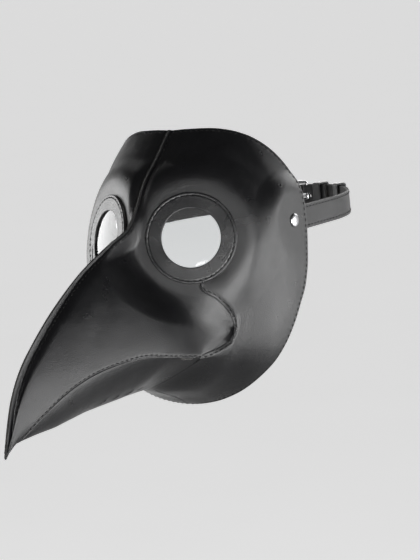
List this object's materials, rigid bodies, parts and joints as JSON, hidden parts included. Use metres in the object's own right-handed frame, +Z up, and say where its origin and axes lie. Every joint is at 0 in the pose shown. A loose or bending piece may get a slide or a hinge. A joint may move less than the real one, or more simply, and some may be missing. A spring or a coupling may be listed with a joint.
{
  "type": "plague doctor mask",
  "caption": "Full-face bird-beak mask of thin sewn leather with two round lenses under flat rings and a buckled strap behind the head.",
  "frame": {"origin": "midway between the centres of the two eye openings, where the mask is held on the wearer's face", "axes": "+Z up, -Y the way the mask faces, +X the wearer's left; +Y runs from the beak's tip back to the strap at the nape"},
  "size_m": [0.1716, 0.3935, 0.2058],
  "materials": {
    "face_leather": "smooth black coated leather with a fine grain and a soft sheen",
    "ring_leather": "smooth black coated leather, edges cut raw",
    "strap_leather": "black coated strap leather",
    "lens_plastic": "clear glossy plastic sheet",
    "rivet_steel": "dark nickel plated steel",
    "buckle_steel": "nickel plated steel"
  },
  "bodies": {
    "mask": {"left_face_panel": "face_leather", "right_face_panel": "face_leather", "beak_underside": "face_leather", "left_eye_ring": "ring_leather", "right_eye_ring": "ring_leather", "left_lens": "lens_plastic", "right_lens": "lens_plastic", "left_strap_rivet": "rivet_steel", "right_strap_rivet": "rivet_steel", "left_rivet_back_cap": "rivet_steel", "right_rivet_back_cap": "rivet_steel"},
    "left_strap": {"left_strap": "strap_leather", "fixed_keeper": "strap_leather"},
    "right_strap": {"right_strap": "strap_leather"},
    "buckle_frame": {"buckle_frame": "buckle_steel"},
    "buckle_prong": {"buckle_prong": "buckle_steel"},
    "sliding_keeper": {"sliding_keeper": "strap_leather"}
  },
  "joints": [
    {"name": "left_strap_swing", "type": "hinge", "parent": "mask", "child": "left_strap", "pos_m": [0.08042, 0.066, 0.002], "axis": [1, 0, 0], "range_deg": [-25, 25]},
    {"name": "right_strap_swing", "type": "hinge", "parent": "mask", "child": "right_strap", "pos_m": [-0.08042, 0.066, 0.002], "axis": [1, 0, 0], "range_deg": [-25, 25]},
    {"name": "buckle_frame_tilt", "type": "hinge", "parent": "left_strap", "child": "buckle_frame", "pos_m": [0.00814, 0.20207, 0.002], "axis": [0, 0, -1], "range_deg": [0, 30]},
    {"name": "buckle_prong_tilt", "type": "hinge", "parent": "buckle_frame", "child": "buckle_prong", "pos_m": [0.00814, 0.20207, 0.002], "axis": [0, 0, -1], "range_deg": [0, 70]},
    {"name": "sliding_keeper_travel", "type": "hinge", "parent": "left_strap", "child": "sliding_keeper", "pos_m": [0, 0.12459, 0.002], "axis": [0, 0, 1], "range_deg": [-45, 5]}
  ],
  "couplings": [
    {"joint": "right_strap_swing", "follows": "left_strap_swing", "ratio": 1}
  ]
}
